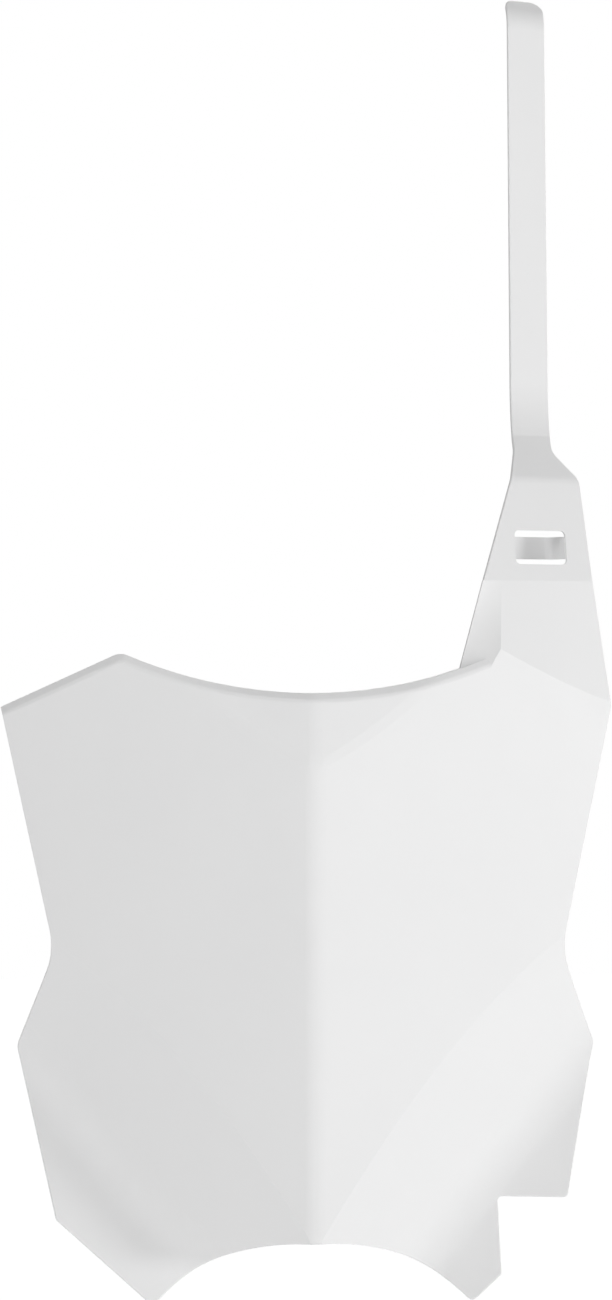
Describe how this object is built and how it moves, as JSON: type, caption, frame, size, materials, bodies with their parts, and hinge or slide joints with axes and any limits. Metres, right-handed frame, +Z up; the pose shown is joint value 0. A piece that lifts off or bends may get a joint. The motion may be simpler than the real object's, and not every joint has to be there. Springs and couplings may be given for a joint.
{
  "type": "racing number board",
  "caption": "White plastic front number board for a motocross bike: a shield folded at a centre keel, with a strap, a keeper slot and a bolt lug behind.",
  "frame": {"origin": "middle of the bolt hole, on the underside of the lug behind the board", "axes": "+Z up along the board and its strap, -Y out of the front of the board, +X to the side with the strap"},
  "size_m": [0.252, 0.1428, 0.5484],
  "materials": {
    "white_plastic": "satin moulded white polypropylene"
  },
  "bodies": {
    "root": {"number_board": "white_plastic"}
  },
  "joints": []
}
